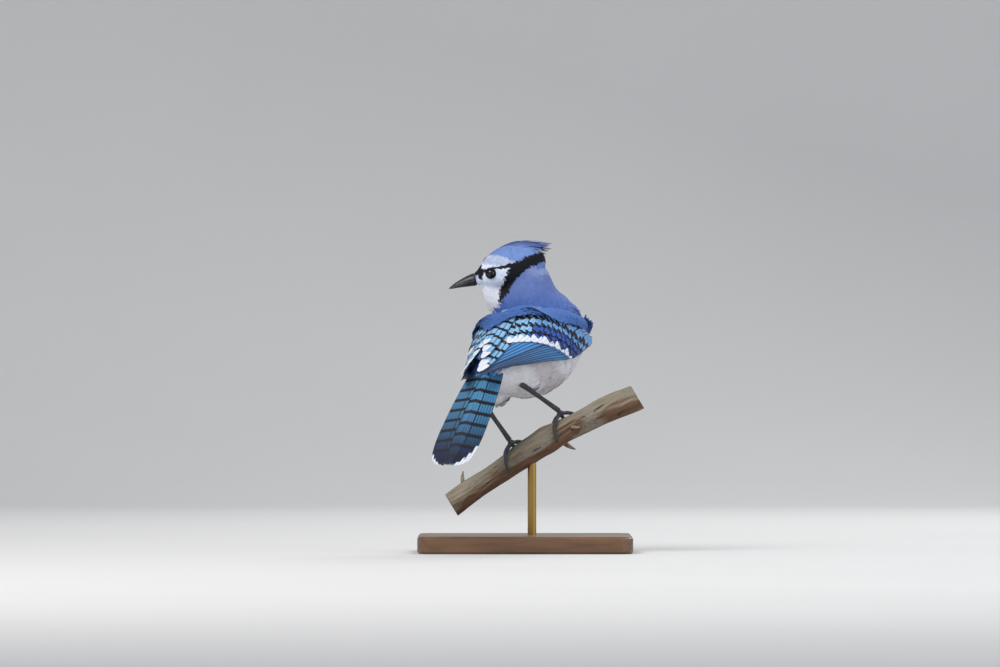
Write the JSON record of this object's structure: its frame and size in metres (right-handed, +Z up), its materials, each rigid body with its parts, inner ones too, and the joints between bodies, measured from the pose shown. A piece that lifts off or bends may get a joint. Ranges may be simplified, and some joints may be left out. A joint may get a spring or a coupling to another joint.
{
  "type": "blue jay model on a perch",
  "caption": "Life-size still blue jay looking back over its shoulder, gripping a short cut branch held by a rod on a flat base.",
  "frame": {"origin": "centre of the stand base's underside", "axes": "+Z up, +X to the right as the picture sees it, +Y away from the camera"},
  "size_m": [0.1582, 0.1683, 0.2189],
  "materials": {
    "body_feathers": "soft body feathers, violet blue above and greyish white below",
    "head_feathers": "small soft feathers, blue crown, white face, black collar",
    "flight_feathers": "smooth vanes, azure to navy with black bars and white tips",
    "bill": "black-grey horn with a soft sheen",
    "eye": "wet dark brown",
    "leg_skin": "grey-black scaled skin",
    "bark": "weathered bark, tan and grey, cracked",
    "stand_wood": "satin stained hardwood",
    "stand_rod": "satin brass"
  },
  "bodies": {
    "root": {"stand_base": "stand_wood", "stand_rod": "stand_rod", "perch_branch": "bark", "torso": "body_feathers", "neck": "body_feathers", "head": "head_feathers", "tail": "flight_feathers", "bill_upper": "bill", "bill_lower": "bill", "eye_left": "eye", "eye_right": "eye", "wing_left": "flight_feathers", "wing_right": "flight_feathers", "thigh_left": "body_feathers", "tarsus_left": "leg_skin", "foot_left": "leg_skin", "thigh_right": "body_feathers", "tarsus_right": "leg_skin", "foot_right": "leg_skin"}
  },
  "joints": []
}
